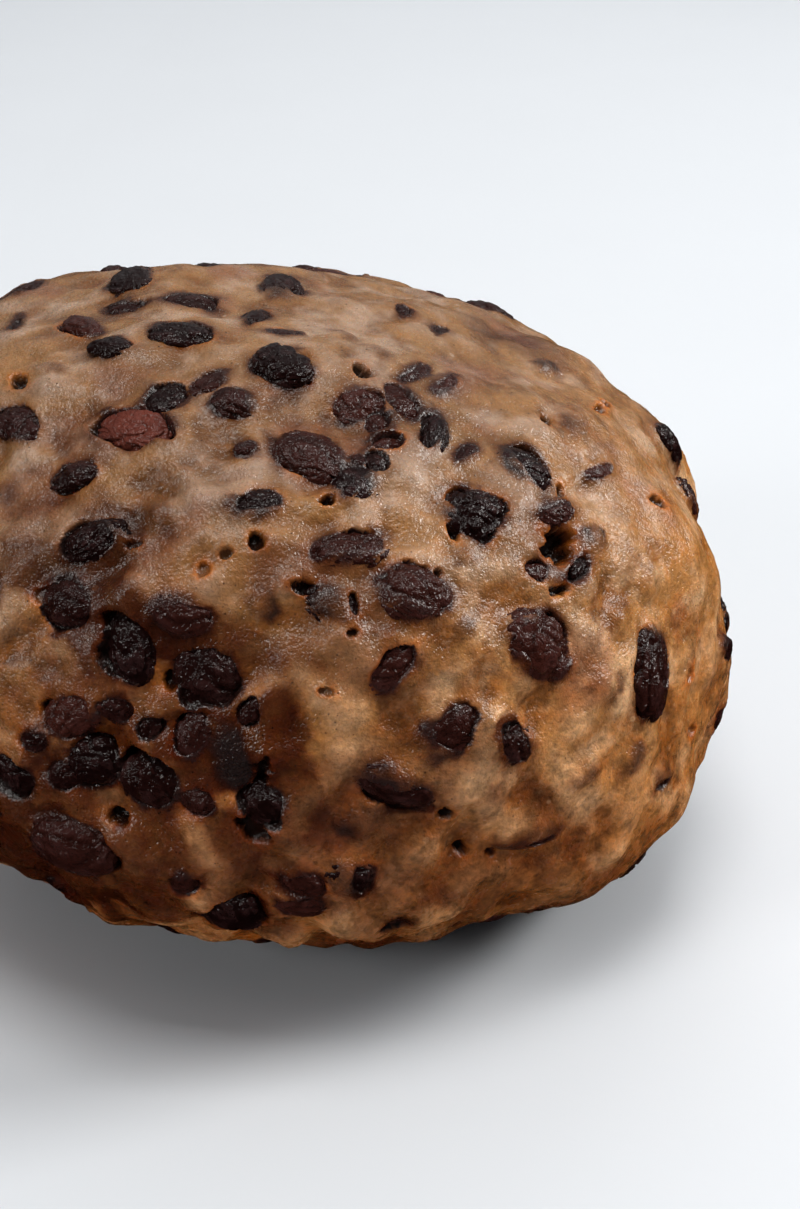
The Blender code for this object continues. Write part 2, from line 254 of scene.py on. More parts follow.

# Darker patches between close fruit, partly syrup-stained dough and partly painted shade, most of all
# low on the left by the foot: around, up, reach in degrees, strength.
STAINS_AND_SHADE = (
    (-10, 17, 9, 0.9), (-8, 11, 8, 1), (-20, 22, 7, 1), (-28, 27, 8, 0.9), (-33, 28, 6, 0.7),
    (-15, 8, 8, 0.9), (-20, 15, 9, 0.8), (-4, 17, 5, 1), (-23, -2, 11, 0.9), (-16, -4, 11, 0.9),
    (-3, 6, 8, 0.9), (-4, -8, 8, 0.8), (1, 30, 7, 0.7), (4, 27, 8, 0.75), (8, 8, 9, 0.7),
    (16, 6, 7, 0.5), (13, 14, 7, 0.6), (26, -2, 9, 0.7), (12, -3, 7, 0.6), (9, 23, 5, 0.5),
    (32, 37, 5, 0.6), (27, 38, 6, 0.5), (25, 44, 4, 0.4), (8, 52, 6, 0.4), (-36, 52, 6, 0.3),
    (-27, -9, 14, 1),
)
STRAY_STAINS = 16              # as many again by chance, on the sides that face away

# Lumps of the skin: size in mm, and height as a share of the broadest ones' height.  All but the
# broadest are higher where the dough is gnarled: around and up of the middle of that, the angles
# at which it begins to fade and has gone, and how much higher.
SKIN_LUMPS = ((13, 1.0), (6.5, 0.60), (3.6, 0.36), (2.0, 0.12))
GNARLED_AT = (-8, 6)
GNARLED_SPREAD = (28, 62)
GNARLED_MORE = 1.3

CAMERA_LENS = 50
CAMERA_SENSOR = 36
CAMERA_PLACE = (0.0, -284.0 * MM, 205.4 * MM)
CAMERA_DOWN = 28.93
CAMERA_RIGHT = 4.80

# The soft lights: name, place, the point that it looks at, side, colour, and whether it shows in
# the gloss.
AIM = (0, 0, 0.05)
LIGHTS = (
    ("key", (1.33, 0.03, 0.94), AIM, 0.48, (1.0, 0.985, 0.96), True),
    ("back", (0.30, 1.30, 1.10), (0.10, 0.95, 0), 1.0, (1.0, 1.0, 1.0), False),
    ("overhead", (-0.10, -0.35, 1.65), AIM, 0.65, (1.0, 0.985, 0.955), True),
    ("ceiling", (0, 0, 2.6), AIM, 4.0, (0.97, 0.985, 1.0), False),
    ("fill", (-1.25, -0.75, 0.80), AIM, 0.4, (1.0, 0.985, 0.965), True),
)
WINDOW_SIDE = (0.42, 0.72, 0.55)
SKY_COLOUR = (0.96, 0.98, 1.0)
TABLE_SIDES = 96

# What the skin's mesh tells its material about each point.
SKIN_MARKS = ("veil", "red", "amber", "pit", "sodden", "climb", "dip", "rise")


# ---------------------------------------------------------------- the form

def lean(points):
    """Tip points towards +X and +Y about the middle of the girth."""
    tip = Matrix.Rotation(math.radians(LEAN_TO_RIGHT), 3, "Y")
    tip = Matrix.Rotation(-math.radians(LEAN_TO_BACK), 3, "X") @ tip
    return points @ np.array(tip).T


def direction(around, up):
    """Unit vectors in the pudding's own frame, before it leans; angles in degrees."""
    around, up = np.radians(around), np.radians(up)
    level = np.cos(up)
    return np.stack([level * np.sin(around), -level * np.cos(around), np.sin(up)], axis=-1)


def unit(vectors):
    """The same vectors with a length of 1."""
    return vectors / np.linalg.norm(vectors, axis=-1, keepdims=True)


def degrees_off(outward, around, up):
    """The angle between unit vectors and a place on the skin."""
    return np.degrees(np.arccos(np.clip(outward @ direction(around, up), -1, 1)))


def swelling(outward):
    """How far the form swells or sinks along each unit vector."""
    rng = np.random.default_rng(SWELLING_SEED)
    rise = np.zeros(outward.shape[:-1])
    for waves_each, height in SWELLINGS:
        axes = unit(rng.normal(size=(WAVES_EACH, 3)))
        starts = rng.uniform(0, 2 * np.pi, WAVES_EACH)
        for axis, start in zip(axes, starts):
            rise += height * np.sin(waves_each * (outward @ axis) * 2 + start)
    for around, up, height, spread in BULGES:
        rise += height * MM * np.exp(-(degrees_off(outward, around, up) / spread) ** 2)
    return rise


def form(outward):
    """Points of the pudding's form along unit vectors, flat where it stands on the table."""
    climb = outward[..., 2]
    level = np.hypot(outward[..., 0], outward[..., 1])
    fullness = np.where(climb >= 0, CROWN_FULLNESS, BELLY_FULLNESS)
    height = np.where(climb >= 0, CROWN_HEIGHT, BELLY_DEPTH)
    reach = ((level / RADIUS) ** fullness + (np.abs(climb) / height) ** fullness) ** (-1 / fullness)
    reach = reach + swelling(outward)
    offset = lean(reach[..., None] * outward * np.array([1 + STRETCH, 1 - STRETCH, 1]))
    top = offset[..., 2] + GIRTH_HEIGHT
    kept = (top + np.sqrt(top ** 2 + FOOT_ROUNDING ** 2)) / 2
    kept = np.where(top > 6 * FOOT_ROUNDING, top, kept)
    share = (GIRTH_HEIGHT - kept) / np.maximum(GIRTH_HEIGHT - top, MM)
    share = np.where(top < GIRTH_HEIGHT / 2, share, 1)
    return offset * share[..., None] + np.array([0, 0, GIRTH_HEIGHT]) + STAND


def stand_offset():
    """How far the frame is moved so that its box is centred on the Z axis."""
    low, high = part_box("pudding")
    probe = direction(*np.meshgrid(np.arange(0, 360, 7.5), np.arange(-40, 90, 2.0)))
    points = form(probe.reshape(-1, 3))
    middle = (points.min(axis=0) + points.max(axis=0)) / 2
    there = (np.array(low) + np.array(high)) / 2
    return np.array([there[0] - middle[0], there[1] - middle[1], 0.0])


STAND = np.zeros(3)
STAND = stand_offset()


def facing_out(outward):
    """Unit normals of the form along unit vectors."""
    helper = np.where(np.abs(outward[..., 2:]) < 0.9, [0.0, 0.0, 1.0], [1.0, 0.0, 0.0])
    first = unit(np.cross(helper, outward))
    second = np.cross(outward, first)
    slopes = [form(unit(outward + SLOPE_STEP * side)) - form(unit(outward - SLOPE_STEP * side))
              for side in (first, second)]
    return unit(np.cross(*slopes))


def waves(points, size, seed, count=9):
    """A smooth random field, about -1 to 1, whose lumps are about size across."""
    rng = np.random.default_rng(seed)
    axes = unit(rng.normal(size=(count, 3)))
    pace = rng.uniform(0.7, 1.4, count) * math.pi / size
    starts = rng.uniform(0, 2 * math.pi, count)
    return np.sin(points @ (axes * pace[:, None]).T + starts).sum(axis=1) * 1.3 / math.sqrt(count)


def ramp(low, high, values):
    """0 below low and 1 above high, with a smooth step between; low may be the greater."""
    share = np.clip((values - low) / (high - low), 0, 1)
    return share * share * (3 - 2 * share)


# ---------------------------------------------------------------- the fruit

class Fruit:
    """One piece of fruit: where it lies, how large it is, and how the skin meets it."""

    def __init__(self, centre, out, long_axis, halves, seed, **bedding):
        self.centre = np.array(centre)
        self.out = out
        self.long_axis = unit(long_axis - out * (long_axis @ out))
        self.cross = np.cross(out, self.long_axis)
        self.halves = np.array(halves)
        self.seed = seed
        for part in (*BEDDING_PARTS, "film"):
            setattr(self, part, bedding.get(part, 0.0))

    def toward(self, side):
        """Unit vector in the skin at an angle: 0 is level to the right and 90 is up."""
        level = np.cross([0.0, 0.0, 1.0], self.out)
        level /= max(np.linalg.norm(level), 1e-6)
        climb = np.cross(self.out, level)
        return math.cos(math.radians(side)) * level + math.sin(math.radians(side)) * climb

    def near(self, points, spread, margin=0.0):
        """Which points lie near, within its greatest half width and a margin, and their offsets."""
        away = points - self.centre
        close = np.flatnonzero((away ** 2).sum(axis=1) < (spread * self.halves[:2].max() + margin) ** 2)
        return close, away[close]

    def share_out(self, flat, spread=1.0):
        """How far out points lie in the skin, as a share of its half width that way."""
        halves = self.halves * spread
        return np.hypot(flat @ self.long_axis / halves[0], flat @ self.cross / halves[1])


def frame_fruit(number):
    """The raisin of that number in the frame, from its node's points."""
    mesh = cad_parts[f"raisin_{number:02d}"].data
    points = np.zeros(len(mesh.vertices) * 3)
    mesh.vertices.foreach_get("co", points)
    points = np.unique(points.reshape(-1, 3).round(6), axis=0)
    centre = points.mean(axis=0)
    spread = points - centre
    _, _, axes = np.linalg.svd(spread, full_matrices=False)
    out = axes[2] if axes[2] @ (centre - [0, 0, GIRTH_HEIGHT]) > 0 else -axes[2]
    fruit = Fruit(centre, out, axes[0], (1, 1, 1), number, **frame_bedding(number))
    fruit.halves = np.array([np.ptp(spread @ axis) / 2 for axis in (fruit.long_axis, fruit.cross, out)])
    return fruit


def frame_bedding(number):
    """How a raisin of the frame lies in the skin; the ones on the back by chance."""
    if number not in BEDDING:
        return chance_bedding(np.random.default_rng(number))
    film = WHOLE_FILM.get(number, 0) * MM
    return dict(zip(BEDDING_PARTS, BEDDING[number]), film=film)


def chance_bedding(rng):
    """A way to lie in the skin, by chance."""
    return dict(
        cover=rng.choice([0, 0.15, 0.3, 0.45], p=[0.3, 0.25, 0.25, 0.2]),
        cover_side=rng.uniform(0, 360),
        gap=rng.choice([0, 0.5, 1], p=[0.5, 0.3, 0.2]),
        gap_side=rng.uniform(0, 360),
        red=rng.uniform(0, 1) ** 2 * 0.8,
        pebble=rng.choice([0, 0.6], p=[0.7, 0.3]),
    )


def laid_fruit(around, up, turn, length, width, proud, seed, **bedding):
    """Fruit laid on the form; length, width and proud in mm."""
    outward = direction(around, up)
    out = facing_out(outward)
    level = unit(np.cross([0.0, 0.0, 1.0], out))
    spin = np.array(Matrix.Rotation(math.radians(turn), 3, Vector(out)))
    thickness = width * THICKNESS_SHARE
    centre = form(outward) + out * (proud - thickness / 2) * MM
    halves = np.array([length, width, thickness]) * MM / 2
    return Fruit(centre, out, spin @ level, halves, seed, **bedding)


def strew(rng, kind, taken, make_bedding):
    """Fruit laid by chance on the sides that face away, clear of what is there already."""
    count, lengths, proud, first_seed = STREWN[kind]
    found = []
    for _ in range(count * TRIES):
        if len(found) == count:
            break
        outward = unit(rng.normal(size=3))
        length = rng.uniform(*lengths)
        width = length * rng.uniform(0.6, 0.9)
        turn = rng.uniform(-90, 90)
        bedding = make_bedding(rng)
        up = math.degrees(math.asin(outward[2]))
        if degrees_off(outward, *AWAY_FROM) < AWAY_ANGLE or up < LOWEST_UP:
            continue
        place = form(outward)
        if place[2] < (ABOVE_TABLE + width / 2) * MM:
            continue
        if any(np.linalg.norm(place - spot) < (length / 2 + size + BETWEEN) * MM for spot, size in taken):
            continue
        taken.append((place, length / 2))
        around = math.degrees(math.atan2(outward[0], -outward[1]))
        seed = first_seed + len(found)
        found.append(laid_fruit(around, up, turn, length, width, proud, seed, **bedding))
    return found


def all_fruit():
    """Every piece of fruit and every hole, by kind."""
    raisins = {number: frame_fruit(number) for number in range(1, FRAME_RAISINS + 1)}
    small = [laid_fruit(*place, SMALL_SEED + row, cover=cover, cover_side=side, red=red, pebble=row % 3 / 3)
             for row, (*place, cover, side, red) in enumerate(SMALL_FRUIT)]
    buried = [laid_fruit(*place, BURIED_PROUD, BURIED_SEED + row, cover=OUT_OF_SIGHT, film=film * MM)
              for row, (*place, film) in enumerate(BURIED_FRUIT)]
    holes = []
    for row, (*place, width, depth, amber) in enumerate(HOLES):
        hole = laid_fruit(*place, width, width * THICKNESS_SHARE / 2, HOLE_SEED + row, red=amber)
        hole.halves[2] = depth * MM
        holes.append(hole)
    rng = np.random.default_rng(STREWN_SEED)
    taken = [(fruit.centre, max(fruit.halves[:2]) / MM)
             for fruit in (*raisins.values(), *small, *buried, *holes)]
    large = strew(rng, "large", taken, chance_bedding)
    small += strew(rng, "small", taken, chance_bedding)
    buried += strew(rng, "buried", taken,
                    lambda chance: dict(cover=OUT_OF_SIGHT, film=chance.uniform(0.3, 0.7) * MM))
    strewn_holes = strew(rng, "holes", taken, lambda chance: dict(red=chance.uniform(0.3, 1.0)))
    for hole in strewn_holes:
        hole.centre = hole.centre - hole.out * (STREWN["holes"][2] * MM - hole.halves[2])
        hole.halves[2] = hole.halves[1] * HOLE_DEPTH_SHARE
    return dict(raisins=raisins, large=large, small=small, buried=buried, holes=holes + strewn_holes)


# ---------------------------------------------------------------- the skin

def halve_edges(points, faces, wanted):
    """Cut the edges whose middles are wanted in two, and divide the triangles beside them."""
    pairs = np.sort(np.stack([faces, np.roll(faces, -1, axis=1)], axis=2), axis=2)
    edges, where = np.unique(pairs.reshape(-1, 2), axis=0, return_inverse=True)
    middles = unit(points[edges].sum(axis=1))
    cut = wanted(middles)
    number = np.full(len(edges), -1)
    number[cut] = len(points) + np.arange(cut.sum())
    points = np.concatenate([points, middles[cut]])
    halfway = number[where.reshape(-1)].reshape(-1, 3)
    cuts = (halfway >= 0).sum(axis=1)
    made = [faces[cuts == 0]]
    a, b, c = faces[cuts == 3].T
    ab, bc, ca = halfway[cuts == 3].T
    made += [np.stack(t, axis=1) for t in ((a, ab, ca), (ab, b, bc), (ca, bc, c), (ab, bc, ca))]
    for turn in range(3):
        corners = np.roll(faces, -turn, axis=1)
        sides = np.roll(halfway, -turn, axis=1)
        one = (cuts == 1) & (sides[:, 0] >= 0)
        a, b, c = corners[one].T
        ab = sides[one, 0]
        made += [np.stack(t, axis=1) for t in ((a, ab, c), (ab, b, c))]
        two = (cuts == 2) & (sides[:, 2] < 0)
        a, b, c = corners[two].T
        ab, bc = sides[two, 0], sides[two, 1]
        made += [np.stack(t, axis=1) for t in ((ab, b, bc), (a, ab, bc), (a, bc, c))]
    return points, np.concatenate(made)


def divided_ball(cuts):
    """Points and triangles of a unit icosahedron, divided evenly so many times."""
    ball = bmesh.new()
    bmesh.ops.create_icosphere(ball, subdivisions=1, radius=1.0)
    points = np.array([vert.co[:] for vert in ball.verts])
    faces = np.array([[vert.index for vert in face.verts] for face in ball.faces])
    ball.free()
    for _ in range(cuts):
        points, faces = halve_edges(points, faces, lambda middles: np.ones(len(middles), bool))
    return points, faces


def opening(fruit, flat):
    """Where the dough lets fruit show: how far inside the opening each point lies, in metres; its
    place as a share of the fruit's reach; and how much of a crevice there is on that side."""
    ratio = fruit.share_out(flat, SPREAD_UNDER)
    halves = fruit.halves * SPREAD_UNDER
    if fruit.film:
        return np.full(len(flat), -halves[0]), ratio, np.zeros(len(flat))
    length = np.maximum(np.linalg.norm(flat, axis=1), 1e-6)
    toward_gap = flat @ fruit.toward(fruit.gap_side) / length
    gapness = fruit.gap * np.clip(toward_gap * 0.8 + 0.3, 0, 1)
    inside = OPENING + CREVICE * gapness - ratio
    if fruit.cover > 0:
        side = fruit.toward(fruit.cover_side)
        edge = 1 - 2 * fruit.cover - flat @ side * fruit.share_out(side, SPREAD_UNDER)
        inside = (inside + edge - np.sqrt((inside - edge) ** 2 + ROUNDED_CORNERS ** 2)) / 2
    for row, (size, share) in enumerate(RIM_WAVES, 1):
        inside = inside + share * waves(flat, size, fruit.seed * 7 + row)
    return inside * halves[:2].mean(), ratio, gapness


def near_rims(fruits, holes, band):
    """A test of unit vectors: do they lie within a band of the edge of any opening or hole?"""
    def wanted(middles):
        places = form(middles)
        chosen = np.zeros(len(places), bool)
        for piece in fruits + holes:
            close, away = piece.near(places, 1.25, band + MM)
            if piece in holes:
                off = (piece.share_out(away) - HOLE_RIM) * piece.halves[:2].mean()
            else:
                off = opening(piece, away - (away @ piece.out)[:, None] * piece.out)[0]
            chosen[close[np.abs(off) < band]] = True
        return chosen
    return wanted


def bed_fruit(points, marks, fruit, sizes):
    """Shape the skin round one piece of fruit: a film over one side, a crevice on the other."""
    near, away = fruit.near(points, 1.7)
    height = away @ fruit.out
    flat = away - height[:, None] * fruit.out
    inside, ratio, gapness = opening(fruit, flat)
    beyond = np.clip(-inside, 0, None)
    smooth_top, top = tops(fruit, flat)
    film = film_over(fruit, flat, beyond)
    draped = smooth_top + (top - smooth_top) * np.exp(-film / FOLLOWS) + film
    soft = sizes.drape
    covered = (height + draped + np.sqrt((height - draped) ** 2 + soft ** 2)) / 2 - soft * TAKEN_BACK
    covered = draped + (covered - draped) * ramp(0, 0.5 * MM, beyond + (height - draped).clip(0) * 3)
    covered = height + (covered - height) * ramp(*SHAPED, ratio) * (1 - gapness)
    covered = covered + rim_relief(fruit, flat, beyond, gapness) * (ratio < RIM_ENDS)
    deep = np.clip(inside, 0, None)
    sunk = np.where(ratio < 1, top, 0) - np.minimum(STEP_DOWN + SLOPE_DOWN * deep, sizes.sink)
    sunk = np.maximum(sunk, height - WALL * deep - STEP_DOWN)
    opened = inside > 0
    fresh = np.where(opened, sunk, covered)
    points[near] += (fresh - height)[:, None] * fruit.out
    thickness = np.where(opened, 0, np.clip(fresh - top, 0, None))
    raise_mark(marks, "veil", near, np.exp(-thickness / sizes.film_fade) * ramp(*VEILED, ratio))
    # Painted shade: the dough inside an opening goes dark, in the crevice beside the fruit.
    raise_mark(marks, "pit", near, np.where(opened, ramp(-0.1 * MM, 0.5 * MM, inside), 0))
    marks["red"][near] = np.where(ratio < 1.2, fruit.red, marks["red"][near])
    if not fruit.film:
        mark_rim(marks, near, fruit, flat, beyond, ratio)


def film_over(fruit, flat, beyond):
    """How thick the dough over fruit is: thinnest at the edge of the opening, if there is one."""
    uneven = 1 + 0.45 * waves(flat, 2.0 * MM, fruit.seed + 17)
    if fruit.film:
        return fruit.film * uneven.clip(0.3)
    return FILM_EDGE * (1 - np.exp(-beyond / FILM_EDGE_WIDTH)) + FILM_SLOPE * beyond * uneven.clip(0.2)


def rim_relief(fruit, flat, beyond, gapness):
    """The low lip round an opening, less what its edge droops where there is a crevice."""
    lip = LIP * (0.6 + 0.9 * waves(flat, 2.5 * MM, fruit.seed + 9))
    lip *= np.exp(-((beyond - LIP_AT) / LIP_WIDTH) ** 2)
    return lip - DROOP * np.exp(-beyond / DROOP_WIDTH) * ramp(0, 0.4, gapness)


def mark_rim(marks, near, fruit, flat, beyond, ratio):
    """Mark the amber rim and the darker wet dough round open fruit."""
    strength = np.random.default_rng(fruit.seed + 4000).uniform(0.1, 1.0)
    patchy = np.clip(0.5 + 0.8 * waves(flat, 4 * MM, fruit.seed + 11), 0, 1)
    halo = np.exp(-(beyond / AMBER_REACH) ** 2) * strength * patchy * (ratio < RIM_ENDS)
    raise_mark(marks, "amber", near, halo)
    wet = np.exp(-(beyond / WET_REACH) ** 2) * WET_ROUND_FRUIT * (1.2 - patchy) * (ratio < WET_ENDS)
    raise_mark(marks, "sodden", near, wet.clip(0, 1))


def raise_mark(marks, name, near, values):
    """Keep the greater of a mark's values and these."""
    marks[name][near] = np.maximum(marks[name][near], values)


def tops(fruit, flat):
    """How high above its centre plane the fruit's top lies: as a plain dome, and with its wrinkles."""
    halves = fruit.halves * np.array([SPREAD_UNDER, SPREAD_UNDER, 1])
    level = np.stack([flat @ fruit.long_axis / halves[0], flat @ fruit.cross / halves[1]], axis=1)
    smooth_top = halves[2] * np.sqrt(np.clip(1 - (level ** 2).sum(axis=1), 0, 1))
    reach = np.ones(len(flat))
    for _ in range(2):
        spot = level / reach[:, None]
        climb = np.sqrt(np.clip(1 - (spot ** 2).sum(axis=1), 0, 1))
        reach = wrinkles(fruit, unit(np.concatenate([spot, climb[:, None]], axis=1)))[0]
    return smooth_top, halves[2] * climb * reach


def press_hole(points, marks, hole):
    """Press one bubble hole into the skin."""
    near, away = hole.near(points, 2.2, MM)
    seed = hole.seed * 5
    ragged = 1 + 0.13 * waves(away, 1.6 * MM, seed + 1) + 0.05 * waves(away, 0.7 * MM, seed + 2)
    ratio = hole.share_out(away) * ragged
    wall = ramp(*HOLE_WALL, ratio)
    floor = 0.75 + 0.25 * np.clip(1 - ratio ** 2, 0, 1) + 0.12 * waves(away, 1.5 * MM, seed + 3)
    lip = HOLE_LIP * np.exp(-((ratio - HOLE_LIP_AT) / HOLE_LIP_WIDTH) ** 2)
    drop = hole.halves[2] * wall * floor - lip
    points[near] -= drop[:, None] * hole.out
    # Painted shade inside the hole, darker the deeper the hole is.
    deep = np.clip(hole.halves[2] / (1.6 * MM), 0.35, 1)
    raise_mark(marks, "pit", near, ramp(1.10, 0.86, ratio) * deep)
    raise_mark(marks, "amber", near, np.exp(-((ratio - 1.0) / 0.5) ** 2) * hole.red)


def skin_mesh(fruits, sizes):
    """The whole skin, finely divided where it meets fruit and holes."""
    solid = list(fruits["raisins"].values()) + fruits["large"] + fruits["small"]
    outward, faces = divided_ball(SKIN_CUTS)
    for band in BANDS:
        outward, faces = halve_edges(outward, faces, near_rims(solid, fruits["holes"], band))
    points = form(outward)
    off = degrees_off(outward, *GNARLED_AT)
    gnarled = 1 + GNARLED_MORE * ramp(GNARLED_SPREAD[1], GNARLED_SPREAD[0], off)
    broad, *finer = [sizes.lumps * share * waves(points, size * MM, 40 + row, count=14)
                     for row, (size, share) in enumerate(SKIN_LUMPS)]
    relief = gnarled * sum(finer)
    lumps = (broad + relief) * ramp(0.5 * MM, 6 * MM, points[:, 2])
    points = points + facing_out(outward) * lumps[:, None]
    marks = {name: np.zeros(len(points)) for name in SKIN_MARKS}
    # Darkening of the dough: painted shade low on the left and at the foot, and patches by fruit.
    marks["sodden"] = sodden(outward, points)
    marks["climb"] = np.clip(points[:, 2] / (GIRTH_HEIGHT + CROWN_HEIGHT), 0, 1)
    marks["dip"] = ramp(0.1 * MM, -0.9 * MM, relief)
    marks["rise"] = ramp(0.1 * MM, 0.9 * MM, relief)
    for fruit in fruits["buried"] + solid:
        bed_fruit(points, marks, fruit, sizes)
    for hole in fruits["holes"]:
        press_hole(points, marks, hole)
    points[:, 2] = np.maximum(points[:, 2], 0)
    mesh = mesh_of("pudding_skin", points, faces)
    for name, values in marks.items():
        add_mark(mesh, name, values)
    return mesh


def sodden(outward, points):
    """How dark the dough is: painted shade low on the left and round the foot, and patches by fruit."""
    # Painted shade on the shaded lower left.
    off = degrees_off(outward, *SHADE_PAINTED_AT) + 5 * waves(points, 16 * MM, 60)
    shaded_side = SHADE_PAINTED_STRENGTH * ramp(SHADE_PAINTED_SPREAD[1], SHADE_PAINTED_SPREAD[0], off)
    # Painted shade round the foot.
    high = points[:, 2] + 3 * MM * waves(points, 14 * MM, 61)
    soaked_and_shaded = np.maximum(shaded_side, FOOT_SHADE_PAINTED * ramp(FOOT_SPREAD[1], FOOT_SPREAD[0], high))
    rng = np.random.default_rng(STREWN_SEED + 1)
    stray = [(rng.uniform(80, 290), rng.uniform(-20, 70), rng.uniform(4, 9), rng.uniform(0.3, 0.9))
             for _ in range(STRAY_STAINS)]
    ragged = 0.20 * waves(points, 7 * MM, 62) + 0.12 * waves(points, 2.8 * MM, 63)
    # Darker patches between close fruit, partly syrup stains and partly painted shade.
    for around, up, reach, strength in (*STAINS_AND_SHADE, *stray):
        share = degrees_off(outward, around, up) / reach + ragged
        soaked_and_shaded = np.maximum(soaked_and_shaded, strength * ramp(1.35, 0.65, share))
    return soaked_and_shaded


def mesh_of(name, points, faces):
    """A smooth-shaded mesh from arrays of points and triangles."""
    mesh = bpy.data.meshes.new(name)
    mesh.from_pydata(points.tolist(), [], faces.tolist())
    mesh.update()
    mesh.shade_smooth()
    return mesh


def add_mark(mesh, name, values):
    """Keep one number for each point of a mesh, for its material to read."""
    layer = mesh.attributes.new(name, "FLOAT", "POINT")
    layer.data.foreach_set("value", np.asarray(values, np.float32))


def wrinkles(fruit, ball):
    """How far a raisin reaches along unit vectors, and how high each place is between creases."""
    seed = fruit.seed * 13
    warp = np.stack([waves(ball, 0.9, seed + part) for part in (5, 6, 7)], axis=1)
    bent = ball + 0.20 * warp
    swell = waves(ball, SWELL_WIDTH, seed + 1)
    folds = waves(bent * np.array([0.62, 1.0, 1.0]), FOLD_WIDTH, seed + 2)
    crimps = waves(bent * np.array([0.8, 1.0, 1.0]), CRIMP_WIDTH, seed + 3)
    pebbles = waves(ball, PEBBLE_WIDTH, seed + 4)
    deep = 0.45 + 0.55 * ramp(-0.8, 0.8, waves(ball, 1.0, seed + 8))
    puffed = np.clip(np.abs(folds) / 0.75, 0, 1) ** 0.6
    crimped = np.clip(np.abs(crimps) / 0.7, 0, 1) ** 0.7
    reach = 1.05 + SWELL_HEIGHT * swell - FOLD_DEPTH * deep * (1 - puffed)
    reach -= (CRIMP_DEPTH + 0.02 * fruit.pebble) * (1 - crimped)
    reach += (PEBBLE_HEIGHT + 0.022 * fruit.pebble) * pebbles
    return reach, puffed * (0.65 + 0.35 * crimped)


def fruit_mesh(name, fruits, cuts):
    """Several wrinkled pieces in one mesh, with marks for the redness of each and for its crests."""
    ball, triangles = divided_ball(cuts)
    points, crests = [], []
    for fruit in fruits:
        reach, crest = wrinkles(fruit, ball)
        shape = ball * reach[:, None] * (fruit.halves * np.array([SPREAD_UNDER, SPREAD_UNDER, 1]))
        points.append(fruit.centre + shape @ np.stack([fruit.long_axis, fruit.cross, fruit.out]))
        crests.append(crest)
    faces = [triangles + row * len(ball) for row in range(len(fruits))]
    mesh = mesh_of(name, np.concatenate(points), np.concatenate(faces))
    add_mark(mesh, "red", np.repeat([fruit.red for fruit in fruits], len(ball)))
    add_mark(mesh, "crest", np.clip(np.concatenate(crests), 0, 1))
    return mesh


# ---------------------------------------------------------------- shader maths

def combine(operation, first, second):
    """Numbers go through a Math node; vectors and colours through Vector Math."""
    many = is_many(first) or is_many(second)
    kind = "ShaderNodeVectorMath" if many else "ShaderNodeMath"
    tree = next(term.tree for term in (first, second) if isinstance(term, Wire))
    return add_node(tree, kind, {"operation": operation}, {0: first, 1: second})


class Wire:
    """One output of a shader node, so that shader maths reads as Python sums."""

    def __init__(self, socket):
        self.socket = socket
        self.tree = socket.id_data

    def __add__(self, other):
        return combine("ADD", self, other)

    def __sub__(self, other):
        return combine("SUBTRACT", self, other)

    def __rsub__(self, other):
        return combine("SUBTRACT", other, self)

    def __mul__(self, other):
        return combine("MULTIPLY", self, other)

    def at_least(self, other):
        return combine("MAXIMUM", self, other)

    def at_most(self, other):
        return combine("MINIMUM", self, other)

    __radd__ = __add__
    __rmul__ = __mul__

    def step(self, low, high):
        """0 where this is below low and 1 where it is above high, smooth between."""
        settings = {"interpolation_type": "SMOOTHSTEP", "clamp": True}
        sockets = {0: self, 1: low, 2: high, 3: 0, 4: 1}
        return add_node(self.tree, "ShaderNodeMapRange", settings, sockets)


def is_many(term):
    """Is this a vector or a colour rather than one number?"""
    if isinstance(term, Wire):
        return term.socket.type in ("VECTOR", "RGBA")
    return not isinstance(term, (int, float))


def add_node(tree, kind, settings=None, sockets=None, out=0):
    """Add a node: its type, its settings, then its sockets' values or links; gives one output."""
    node = tree.nodes.new(kind)
    for name, value in (settings or {}).items():
        if name == "stops":
            fill_ramp(node.color_ramp, value)
        else:
            setattr(node, name, value)
    for key, value in (sockets or {}).items():
        socket = node.inputs[key]
        if isinstance(value, Wire):
            tree.links.new(value.socket, socket)
        elif socket.type == "RGBA" and len(value) == 3:
            socket.default_value = (*value, 1)
        else:
            socket.default_value = value
    return Wire(node.outputs[out])


def fill_ramp(colour_ramp, stops):
    """Give a colour ramp its stops: place and colour."""
    while len(colour_ramp.elements) < len(stops):
        colour_ramp.elements.new(1.0)
    for element, (place, colour) in zip(colour_ramp.elements, stops):
        element.position = place
        element.color = (*colour, 1)


def blend(first, second, share):
    """Mix two colours; share is how much of the second there is."""
    tree = next(term.tree for term in (share, first, second) if isinstance(term, Wire))
    settings = {"data_type": "RGBA", "clamp_factor": True}
    return add_node(tree, "ShaderNodeMix", settings, {0: share, 6: first, 7: second}, out=2)


def grain(where, size, detail=2.0, roughness=0.5, distortion=0.0):
    """Noise from 0 to 1 whose lumps are about size across."""
    sockets = {"Vector": where, "Scale": 0.5 / size, "Detail": detail, "Roughness": roughness,
               "Distortion": distortion}
    return add_node(where.tree, "ShaderNodeTexNoise", None, sockets)


def ridges(where, size):
    """How far noise is from its middle value, 0 to 1: thin winding lines where it is near 0."""
    noise = grain(where, size, 3.0, 0.55, 0.4)
    return add_node(where.tree, "ShaderNodeMath", {"operation": "ABSOLUTE"}, {0: noise * 4 - 2})


def cells(where, size):
    """How far it is to the nearest of scattered middles that are about size apart."""
    return add_node(where.tree, "ShaderNodeTexVoronoi", None, {"Vector": where, "Scale": 1 / size})


def mark(tree, name):
    """A number kept on the mesh."""
    return add_node(tree, "ShaderNodeAttribute", {"attribute_name": name}, None, out=2)


def new_material(name):
    """A material with only a Principled shader, and the place on the surface."""
    made = bpy.data.materials.new(name)
    made.use_nodes = True
    tree = made.node_tree
    where = add_node(tree, "ShaderNodeTexCoord", None, None, out=3)
    return made, tree, where


